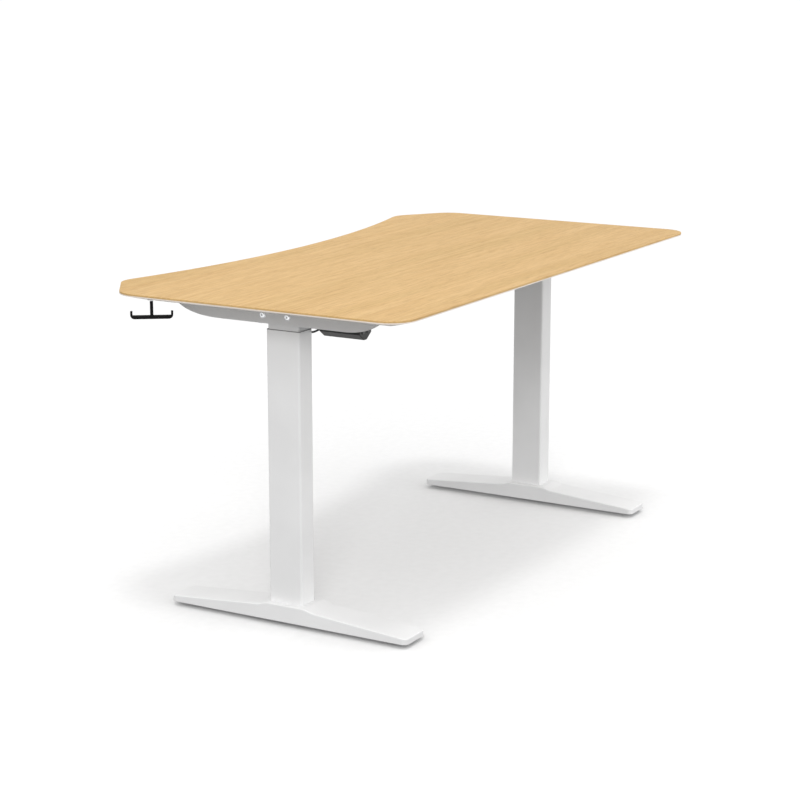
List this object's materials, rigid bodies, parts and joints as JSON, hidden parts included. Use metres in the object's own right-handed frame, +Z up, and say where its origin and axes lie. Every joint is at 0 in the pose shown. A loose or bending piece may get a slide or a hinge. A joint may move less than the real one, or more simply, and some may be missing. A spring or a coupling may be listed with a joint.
{
  "type": "height adjustable standing desk",
  "caption": "Electric sit-stand desk with an oak-veneered top, hollowed rear edge, white two-stage lifting columns, tapered feet, end-button handset and a double bag hook.",
  "frame": {"origin": "on the floor, under the centre of the whole desk's bounding box, desk at its lowest height", "axes": "+X along the long side, -Y towards the straight front edge (handset side), +Y towards the hollowed rear edge, +Z up"},
  "size_m": [1.4, 0.7501, 0.692],
  "materials": {
    "oak": "natural matt-lacquered oak veneer",
    "white_board": "white lacquered fibreboard",
    "powder_white": "white powder coat",
    "zinc_steel": "bright zinc plated",
    "bare_steel": "ground steel, lightly greased",
    "cast_aluminium": "die-cast",
    "motor_black": "black passivated steel",
    "black_metal": "fine black powder coat",
    "guide_plastic": "moulded acetal",
    "nut_plastic": "natural acetal",
    "glide_plastic": "pale grey moulded nylon",
    "black_plastic": "fine-textured moulded plastic",
    "button_plastic": "smooth moulded plastic",
    "cable_pvc": "black soft PVC sheath",
    "circuit_board": "green solder mask"
  },
  "bodies": {
    "left_base": {"foot_left": "powder_white", "outer_tube_left": "powder_white", "slide_bush_left": "guide_plastic", "tube_plug_left": "bare_steel", "push_tube_left": "bare_steel", "lift_nut_left": "nut_plastic", "foot_bolts_left": "zinc_steel"},
    "right_base": {"foot_right": "powder_white", "outer_tube_right": "powder_white", "slide_bush_right": "guide_plastic", "tube_plug_right": "bare_steel", "push_tube_right": "bare_steel", "lift_nut_right": "nut_plastic", "foot_bolts_right": "zinc_steel"},
    "left_front_glide": {"glide_front_left": "glide_plastic"},
    "right_front_glide": {"glide_front_right": "glide_plastic"},
    "left_rear_glide": {"glide_rear_left": "glide_plastic"},
    "right_rear_glide": {"glide_rear_right": "glide_plastic"},
    "left_spindle": {"spindle_left": "bare_steel"},
    "right_spindle": {"spindle_right": "bare_steel"},
    "down_button": {"down_button": "button_plastic"},
    "up_button": {"up_button": "button_plastic"},
    "top": {"arm_bolts": "zinc_steel", "arm_left": "powder_white", "arm_right": "powder_white", "bag_hook": "black_metal", "beam_bolts": "zinc_steel", "bearing_left": "bare_steel", "bearing_right": "bare_steel", "cable_clips": "black_plastic", "cable_plugs": "black_plastic", "control_board": "circuit_board", "control_box_base": "black_plastic", "control_box_cover": "black_plastic", "crossbeam_front": "powder_white", "crossbeam_rear": "powder_white", "desktop_core": "white_board", "gearbox_left": "cast_aluminium", "gearbox_right": "cast_aluminium", "gearbox_screws": "zinc_steel", "handset_board": "circuit_board", "handset_bracket": "black_metal", "handset_cable": "cable_pvc", "handset_end_cap": "black_plastic", "handset_housing": "black_plastic", "head_plate_left": "powder_white", "head_plate_right": "powder_white", "inner_tube_left": "powder_white", "inner_tube_right": "powder_white", "mains_inlet": "black_plastic", "motor_cable_left": "cable_pvc", "motor_cable_right": "cable_pvc", "motor_left": "motor_black", "motor_right": "motor_black", "oak_top": "oak", "tube_guide_left": "guide_plastic", "tube_guide_right": "guide_plastic", "wood_screws": "zinc_steel"}
  },
  "joints": [
    {"name": "left_lift", "type": "slide", "parent": "left_base", "child": "top", "axis": [0, 0, 1], "range_m": [0, 0.45]},
    {"name": "right_lift", "type": "slide", "parent": "top", "child": "right_base", "axis": [0, 0, -1], "range_m": [0, 0.45]},
    {"name": "left_spindle_spin", "type": "hinge", "parent": "top", "child": "left_spindle", "pos_m": [-0.553, -0.027, 0.5], "axis": [0, 0, 1], "range_deg": [0, 32401]},
    {"name": "right_spindle_spin", "type": "hinge", "parent": "top", "child": "right_spindle", "pos_m": [0.553, -0.027, 0.5], "axis": [0, 0, 1], "range_deg": [0, 32401]},
    {"name": "left_front_levelling", "type": "slide", "parent": "left_base", "child": "left_front_glide", "axis": [0, 0, -1], "range_m": [0, 0.006]},
    {"name": "left_rear_levelling", "type": "slide", "parent": "left_base", "child": "left_rear_glide", "axis": [0, 0, -1], "range_m": [0, 0.006]},
    {"name": "right_front_levelling", "type": "slide", "parent": "right_base", "child": "right_front_glide", "axis": [0, 0, -1], "range_m": [0, 0.006]},
    {"name": "right_rear_levelling", "type": "slide", "parent": "right_base", "child": "right_rear_glide", "axis": [0, 0, -1], "range_m": [0, 0.006]},
    {"name": "down_press", "type": "slide", "parent": "top", "child": "down_button", "axis": [0, 1, 0], "range_m": [0, 0.0015], "stiffness_N_per_m": 800, "springref_m": -0.001},
    {"name": "up_press", "type": "slide", "parent": "top", "child": "up_button", "axis": [0, 1, 0], "range_m": [0, 0.0015], "stiffness_N_per_m": 800, "springref_m": -0.001}
  ],
  "couplings": [
    {"joint": "right_lift", "follows": "left_lift", "ratio": 1},
    {"joint": "left_spindle_spin", "follows": "left_lift", "rad_per_m": 1256.6},
    {"joint": "right_spindle_spin", "follows": "left_lift", "rad_per_m": 1256.6}
  ]
}
